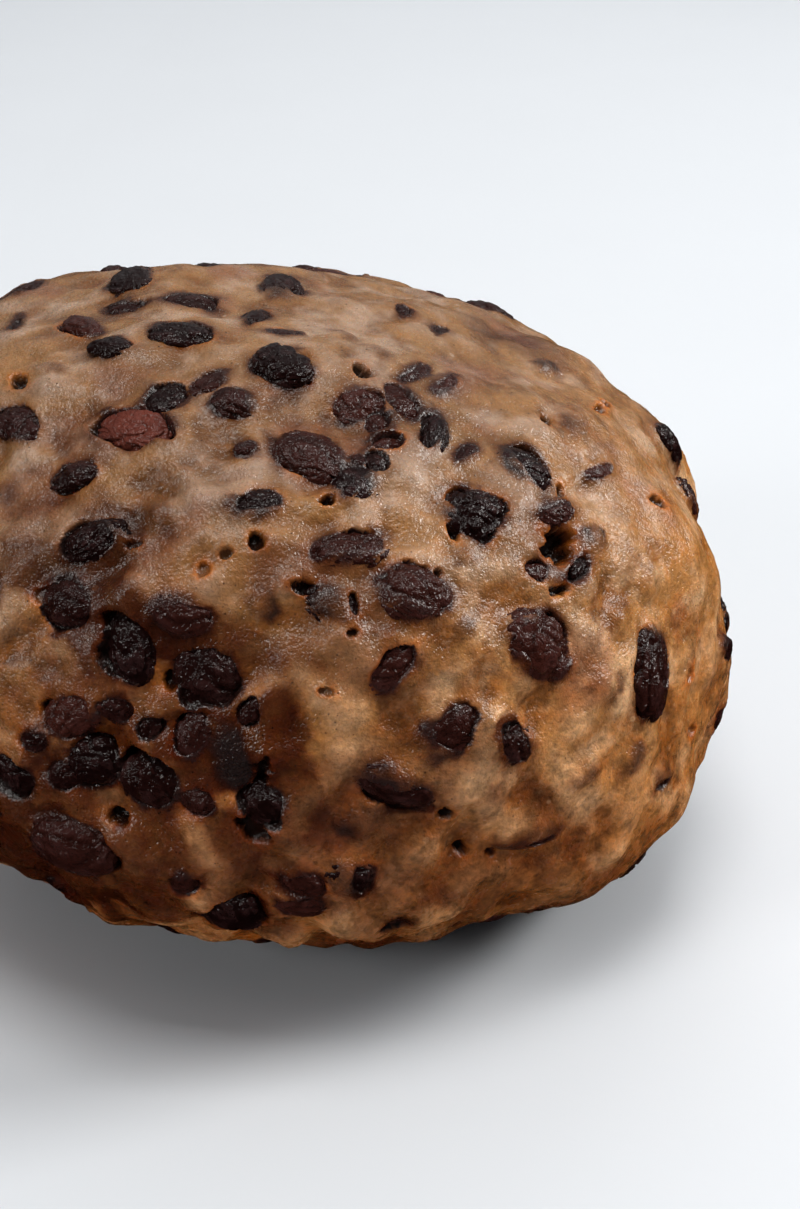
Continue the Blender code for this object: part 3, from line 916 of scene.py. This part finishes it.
def finish_material(tree, colour, roughness, height, depth, coat=None, fixed=None):
    """Join colour, roughness, relief and coat to the Principled shader, and set what is fixed."""
    shader = tree.nodes["Principled BSDF"]
    tree.links.new(colour.socket, shader.inputs["Base Color"])
    tree.links.new(roughness.socket, shader.inputs["Roughness"])
    relief = add_node(tree, "ShaderNodeBump", None, {"Height": height, "Distance": depth, "Strength": 1.0})
    tree.links.new(relief.socket, shader.inputs["Normal"])
    if coat is not None:
        tree.links.new(coat.socket, shader.inputs["Coat Weight"])
    for name, value in (fixed or {}).items():
        shader.inputs[name].default_value = value


def skin_material(colours, depth):
    """Damp boiled dough: mottled tan and amber, dark spice, fruit under thin film, and painted light and
    shade.
    """
    made, tree, where = new_material("pudding_skin")
    veil, red, rim, pit, wet, climb, dip, rise = (mark(tree, name) for name in SKIN_MARKS)
    broad = grain(where, 16 * MM, 1.0)
    patch = grain(where, 4.6 * MM, 2.0, 0.5, 0.3)
    small = grain(where, 1.6 * MM, 2.0, 0.65)
    fine = grain(where, 0.42 * MM, 2.0, 0.6)
    # Darker brown and amber in the hollows of the relief: partly wetter dough, partly painted shade.
    dusky = (broad * 0.35 + patch * 0.50 + dip * 0.24).step(0.42, 0.64)
    colour = blend(colours.dough, colours.brown, dusky * 0.9)
    amber = (patch * 0.5 + small * 0.5).step(0.46, 0.60)
    amber = (amber * 0.55 + dip * 0.50) * (1.2 - 0.8 * climb)
    colour = blend(colour, colours.amber, amber.at_most(0.95))
    # Paler on the crests of the relief: partly floury dough, partly a painted highlight.
    pale = grain(where + (0.5, 0, 0), 4.4 * MM, 2.0, 0.55).step(0.45, 0.68) * (1 - wet * 0.8)
    colour = blend(colour, colours.pale, (pale * 0.75 + rise * 0.5).at_most(0.85))
    rosy = grain(where + (0, 0.5, 0), 7 * MM, 1.0).step(0.56, 0.72)
    colour = blend(colour, colours.rosy, rosy * 0.5)
    colour = blend(colour, colours.caramel, rim * (0.45 + 0.9 * small))
    # Small pale blotches in the sheen colour: a painted sheen.
    painted_sheen = grain(where + (0, 0.3, 0), 0.9 * MM, 2.0, 0.7).step(0.50, 0.72) * patch.step(0.36, 0.60)
    colour = blend(colour, colours.sheen, painted_sheen * 0.25)
    specks = 1 - cells(where, 1.5 * MM).step(0.07, 0.15)
    specks = specks * grain(where + (0, 0, 0.5), 2.6 * MM).step(0.46, 0.56)
    dust = 1 - cells(where + (0.3, 0, 0), 0.7 * MM).step(0.10, 0.22)
    dust = dust * small.step(0.45, 0.6) * 0.5
    colour = blend(colour, colours.spice, specks.at_least(dust) * 0.8)
    crumb = 1 - cells(where + (0, 0.2, 0), 9 * MM).step(0.045, 0.07)
    colour = blend(colour, colours.pale, crumb * 0.8)
    # Lighter on the tops of the fine relief and darker between: partly random tone, partly painted relief
    # shading, strongest low down.
    uneven = fine.step(0.25, 0.75) * 0.42 + small.step(0.28, 0.72) * 0.58 - 0.5
    colour = colour * (1.07 + uneven * (1.9 - 1.5 * climb))
    # Painted light and shade by height: darker near the table, lighter half way up, and darker and greyer
    # at the crown.
    stops = ((0.2, colours.low_shade_tint), (0.62, colours.middle_light_tint), (0.9, colours.crown_shade_tint))
    height = climb + 0.15 * (broad - 0.5)
    colour = colour * add_node(tree, "ShaderNodeValToRGB", {"stops": stops}, {0: height})
    # Dark winding lines where the mesh has no creases: painted shade of creases.
    crease = 1 - ridges(where, 5 * MM).step(0.0, 0.40)
    crease = crease * grain(where + (0.7, 0, 0), 7 * MM).step(0.50, 0.64)
    # Darker dough: painted shade low on the left and at the foot, and patches by fruit, some of them
    # painted shade too.
    soaked_and_shaded = wet * (0.8 + 0.4 * small)
    colour = blend(colour, colour * colours.sodden, soaked_and_shaded.at_least(crease * 0.5))
    colour = blend(colour, colour * colours.sodden, soaked_and_shaded.step(0.74, 1.04) * 0.8)
    fruit = blend(colours.raisin_film, colours.red_film, red)
    colour = blend(colour, colour * colours.stain, veil.step(0.02, 0.5) * 0.8)
    colour = blend(colour, fruit, (veil + 0.25 * (small - 0.5)).step(0.25, 0.95))
    # Holes and crevices go near black: painted shade.
    colour = blend(colour, colours.pit, pit * 0.97)
    roughness = 0.14 + 0.24 * small - 0.06 * rim + 0.14 * (broad - 0.5)
    lumpy = grain(where, 2.4 * MM, 1.0) * (3.4 - 2.4 * climb)
    height = lumpy + small * 0.95 + fine * 0.90 + grain(where, 0.2 * MM, 1.0) * 0.50
    coat = broad.step(0.35, 0.65) * 0.05 + 0.02 + rim * 0.15
    fixed = {
        "Coat Roughness": 0.2, "Subsurface Weight": 0.15, "Subsurface Scale": 1.6 * MM,
        "Subsurface Radius": (1.0, 0.38, 0.16), "IOR": 1.46, "Specular IOR Level": 0.55,
    }
    finish_material(tree, colour, roughness, height, depth, coat, fixed)
    return made


def raisin_material(name, dark, crests, scene):
    """Raisin skin: dark creases, browner crests with a dusty pale cast, partly painted shade and sheen."""
    made, tree, where = new_material(name)
    crest, red = mark(tree, "crest"), mark(tree, "red")
    small = grain(where, 1.6 * MM, 3.0, 0.6)
    fine = grain(where, 0.4 * MM, 2.0, 0.6)
    # Redder on the crests and dark in the creases, partly painted shade.
    reddened = (red * (0.35 + 0.65 * crest) + 0.12 * (small - 0.5)).at_least(0)
    colour = blend(dark, crests, reddened)
    # A dusty pale cast on the crests, partly a painted sheen.
    colour = blend(colour, scene.dumpling_colours.bloom_and_sheen, (crest * small).step(0.34, 0.62) * 0.25)
    colour = colour * (0.7 + 0.5 * fine)
    roughness = 0.08 + 0.18 * small
    height = ridges(where, 1.1 * MM).at_most(0.8) * 0.95 + fine * 0.40
    height = height + grain(where, 0.18 * MM, 1.0) * 0.16
    fixed = {"Specular IOR Level": 0.25, "IOR": 1.5}
    finish_material(tree, colour, roughness, height, scene.dumpling_sizes.creases, fixed=fixed)
    return made


def floor_material(colour):
    """A plain pale matt table."""
    made, tree, where = new_material("pale_table")
    mottle = grain(where, 40 * MM, 2.0)
    tone = blend(colour * 0.985, colour, mottle)
    finish_material(tree, tone, 0.6 + 0.05 * mottle, grain(where, 0.6 * MM), 0.01 * MM)
    return made


# ---------------------------------------------------------------- settings

def colour_property(name, description, default):
    """A colour that a user may change."""
    return bpy.props.FloatVectorProperty(name=name, description=description, default=default,
                                         subtype="COLOR", size=3, min=0, max=1.5)


class DumplingColours(bpy.types.PropertyGroup):
    """The colours of the dough and the fruit."""

    dough: colour_property("Dough", "Plain skin", (0.42, 0.198, 0.073))
    brown: colour_property("Brown", "Dusky patches of the skin", (0.16, 0.060, 0.020))
    caramel: colour_property("Caramel", "The rims of holes and openings", (0.60, 0.175, 0.018))
    # In the hollows between lumps, amber is partly painted shade.
    amber: colour_property("Amber", "Clear patches, and the hollows between lumps", (0.36, 0.125, 0.020))
    # Pale also lightens the crests of the relief, partly a painted highlight.
    pale: colour_property("Pale", "Pale floury patches", (0.62, 0.395, 0.265))
    rosy: colour_property("Rosy", "Patches stained by fruit", (0.27, 0.085, 0.045))
    # Sheen: small pale blotches of colour, a painted sheen.
    sheen: colour_property("Sheen", "Small pale blotches of starch", (0.58, 0.40, 0.29))
    stain: colour_property("Stain", "Tints thin dough over fruit", (0.52, 0.40, 0.34))
    # Painted light and shade by height: shade near the table, light half way up, shade at the crown.
    low_shade_tint: colour_property("Low tint", "Tints the dough near the table", (0.86, 0.60, 0.31))
    middle_light_tint: colour_property("Middle tint", "Tints the dough half way up", (1.09, 0.99, 0.74))
    crown_shade_tint: colour_property("Crown tint", "Tints the dough at the crown", (0.66, 0.68, 0.70))
    spice: colour_property("Spice", "Specks of spice", (0.07, 0.025, 0.012))
    # This tint paints the shade low on the left and at the foot, and darkens stained dough by fruit.
    sodden: colour_property("Sodden", "Tints the dough that syrup soaked", (0.30, 0.17, 0.09))
    raisin_film: colour_property("Veiled raisin", "A dark raisin under thin dough", (0.018, 0.009, 0.008))
    red_film: colour_property("Veiled red raisin", "A red one under thin dough", (0.050, 0.013, 0.010))
    # Painted shade inside holes and crevices.
    pit: colour_property("Hole", "The inside of a bubble hole", (0.009, 0.002, 0.0010))
    raisin: colour_property("Raisin", "Raisin skin", (0.0085, 0.0020, 0.0018))
    raisin_red: colour_property("Red raisin", "Crests of the redder raisins", (0.070, 0.017, 0.011))
    # On the raisins' crests, partly a painted sheen.
    bloom_and_sheen: colour_property("Bloom", "Dusty bloom on the crests", (0.070, 0.028, 0.027))
    sultana: colour_property("Sultana", "Crests of the sultana", (0.150, 0.035, 0.022))
    table: colour_property("Table", "The table", (0.75, 0.78, 0.82))


def number_property(name, description, default, unit="LENGTH"):
    """A length in metres, a power in watts or a plain number that a user may change."""
    return bpy.props.FloatProperty(name=name, description=description, default=default,
                                   min=0, precision=5, unit=unit)


class DumplingSizes(bpy.types.PropertyGroup):
    """How deep the skin's relief is, how the dough meets the fruit, and how wide the table is."""

    lumps: number_property("Lumps", "Height of the broadest lumps of the skin", 0.42 * MM)
    grain: number_property("Grain", "Depth of the skin's fine grain", 0.30 * MM)
    creases: number_property("Creases", "Depth of the fine creases of the fruit", 0.30 * MM)
    film_fade: number_property("Film fade", "Thickness of dough that mostly hides fruit", 0.60 * MM)
    drape: number_property("Drape", "How softly the skin rises over fruit", 0.55 * MM)
    sink: number_property("Sink", "How far under its top the dough lets go of open fruit", 0.90 * MM)
    table_radius: number_property("Table radius", "Radius of the table", 1.25)


class DumplingLight(bpy.types.PropertyGroup):
    """The soft studio light."""

    key: number_property("Key", "Power of the main light", 15.0, "POWER")
    back: number_property("Back", "Power of the light behind", 6.0, "POWER")
    overhead: number_property("Overhead", "Power of the broad light above", 10.5, "POWER")
    ceiling: number_property("Ceiling", "Power of the very broad light above", 26.0, "POWER")
    fill: number_property("Fill", "Power of the light from the left", 6.0, "POWER")
    sky: number_property("Sky", "Strength of the light all round", 0.035, "NONE")
    backdrop: number_property("Backdrop", "How bright the sky looks past the table", 0.82, "NONE")
    window: number_property("Window", "Extra strength of the sky behind", 0.26, "NONE")


# ---------------------------------------------------------------- operators

def add_piece(name, mesh, look):
    """Link a piece, give it its material and slot, and let it ride on the body."""
    mesh.materials.append(look)
    piece = bpy.data.objects.new(name, mesh)
    bpy.context.scene.collection.objects.link(piece)
    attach(piece, "root")
    return piece


LAID = {}


def fruit_of(kind):
    """The fruit of one kind, worked out once."""
    if not LAID:
        LAID.update(all_fruit())
    return LAID[kind]


class DUMPLING_OT_skin(bpy.types.Operator):
    """Shape the skin over its fruit and finish it as damp boiled dough"""

    bl_idname = "dumpling.skin"
    bl_label = "Skin"

    def execute(self, context):
        fruit_of("raisins")
        sizes = context.scene.dumpling_sizes
        look = skin_material(context.scene.dumpling_colours, sizes.grain)
        piece = add_piece("pudding_skin", skin_mesh(LAID, sizes), look)
        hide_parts("pudding")
        return {"FINISHED"}


class DUMPLING_OT_raisins(bpy.types.Operator):
    """Model the large raisins, wrinkled and glossy"""

    bl_idname = "dumpling.raisins"
    bl_label = "Raisins"

    def execute(self, context):
        raisins = fruit_of("raisins")
        colours = context.scene.dumpling_colours
        look = raisin_material("raisin_skin", colours.raisin, colours.raisin_red, context.scene)
        for name, numbers in RAISIN_GROUPS.items():
            mesh = fruit_mesh(name, [raisins[number] for number in numbers], RAISIN_CUTS)
            piece = add_piece(name, mesh, look)
            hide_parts(*[f"raisin_{number:02d}" for number in numbers])
        more = fruit_mesh("raisins_strewn", fruit_of("large"), RAISIN_CUTS)
        add_piece("raisins_strewn", more, look)
        return {"FINISHED"}


class DUMPLING_OT_sultana(bpy.types.Operator):
    """Model the one red-brown sultana"""

    bl_idname = "dumpling.sultana"
    bl_label = "Sultana"

    def execute(self, context):
        colours = context.scene.dumpling_colours
        look = raisin_material("sultana_skin", colours.raisin_red, colours.sultana, context.scene)
        mesh = fruit_mesh("sultana", [fruit_of("raisins")[SULTANA]], SULTANA_CUTS)
        piece = add_piece("sultana", mesh, look)
        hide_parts(f"raisin_{SULTANA:02d}")
        return {"FINISHED"}


class DUMPLING_OT_currants(bpy.types.Operator):
    """Model the currants and the small broken raisins"""

    bl_idname = "dumpling.currants"
    bl_label = "Currants"

    def execute(self, context):
        colours = context.scene.dumpling_colours
        look = raisin_material("currant_skin", colours.raisin, colours.raisin_red, context.scene)
        mesh = fruit_mesh("currants", fruit_of("small"), CURRANT_CUTS)
        add_piece("currants", mesh, look)
        return {"FINISHED"}


def link(thing, place=(0, 0, 0)):
    """Put a light, a camera or a mesh in the scene."""
    holder = bpy.data.objects.new(thing.name, thing)
    holder.location = place
    bpy.context.scene.collection.objects.link(holder)
    return holder


def add_area_light(name, place, aim, side, power, colour, shine):
    """A square soft light that looks at a point; without shine it leaves no highlights."""
    lamp = bpy.data.lights.new(name, "AREA")
    lamp.size = side
    lamp.energy = power
    lamp.color = colour
    holder = link(lamp, place)
    holder.rotation_euler = (Vector(aim) - Vector(place)).to_track_quat("-Z", "Y").to_euler()
    holder.visible_glossy = shine


def light_sky(world, light):
    """A soft sky, brighter behind and dark below the table, with a plain pale backdrop."""
    world.use_nodes = True
    tree = world.node_tree
    view = add_node(tree, "ShaderNodeTexCoord")
    dot = {"operation": "DOT_PRODUCT"}
    behind = add_node(tree, "ShaderNodeVectorMath", dot, {0: view, 1: WINDOW_SIDE}, out=1)
    height = add_node(tree, "ShaderNodeSeparateXYZ", None, {0: view}, out=2)
    strength = (light.sky + light.window * behind.step(0.0, 0.9)) * height.step(-0.05, 0.15)
    seen = add_node(tree, "ShaderNodeLightPath")
    strength = strength * (1 - seen) + light.backdrop * seen
    sky = tree.nodes["Background"]
    sky.inputs["Color"].default_value = (*SKY_COLOUR, 1)
    tree.links.new(strength.socket, sky.inputs["Strength"])


class DUMPLING_OT_stage(bpy.types.Operator):
    """Lay the pale table and set the soft light and the camera"""

    bl_idname = "dumpling.stage"
    bl_label = "Stage"

    def execute(self, context):
        scene = context.scene
        light = scene.dumpling_light
        table = bpy.data.meshes.new("table")
        shape = bmesh.new()
        bmesh.ops.create_circle(shape, cap_ends=True, segments=TABLE_SIDES,
                                radius=scene.dumpling_sizes.table_radius)
        shape.to_mesh(table)
        shape.free()
        table.materials.append(floor_material(scene.dumpling_colours.table))
        floor = link(table)
        floor.visible_glossy = False
        for name, place, aim, side, colour, shine in LIGHTS:
            add_area_light(name, place, aim, side, getattr(light, name), colour, shine)
        scene.world = bpy.data.worlds.new("studio")
        light_sky(scene.world, light)
        lens = bpy.data.cameras.new("camera")
        lens.lens = CAMERA_LENS
        lens.sensor_width = CAMERA_SENSOR
        scene.camera = link(lens, np.array(CAMERA_PLACE) + STAND)
        turn = math.radians(90 - CAMERA_DOWN), 0, -math.radians(CAMERA_RIGHT)
        scene.camera.rotation_euler = turn
        scene.view_settings.view_transform = "Standard"
        return {"FINISHED"}


OPERATORS = (
    DUMPLING_OT_skin, DUMPLING_OT_raisins, DUMPLING_OT_sultana, DUMPLING_OT_currants,
    DUMPLING_OT_stage,
)


class DUMPLING_PT_panel(bpy.types.Panel):
    """The dumpling's pieces and settings."""

    bl_idname = "DUMPLING_PT_panel"
    bl_label = "Clootie Dumpling"
    bl_space_type = "VIEW_3D"
    bl_region_type = "UI"
    bl_category = "Dumpling"

    def draw(self, context):
        for operator in OPERATORS:
            self.layout.operator(operator.bl_idname)
        scene = context.scene
        for group in (scene.dumpling_sizes, scene.dumpling_colours, scene.dumpling_light):
            for name in group.__annotations__:
                self.layout.prop(group, name)


CLASSES = (DumplingColours, DumplingSizes, DumplingLight, *OPERATORS, DUMPLING_PT_panel)


def register():
    for made in CLASSES:
        bpy.utils.register_class(made)
    bpy.types.Scene.dumpling_colours = bpy.props.PointerProperty(type=DumplingColours)
    bpy.types.Scene.dumpling_sizes = bpy.props.PointerProperty(type=DumplingSizes)
    bpy.types.Scene.dumpling_light = bpy.props.PointerProperty(type=DumplingLight)


def unregister():
    del bpy.types.Scene.dumpling_light
    del bpy.types.Scene.dumpling_sizes
    del bpy.types.Scene.dumpling_colours
    for made in reversed(CLASSES):
        bpy.utils.unregister_class(made)


def main():
    register()
    for operator in OPERATORS:
        group, name = operator.bl_idname.split(".")
        getattr(getattr(bpy.ops, group), name)()


if __name__ == "__main__":
    main()
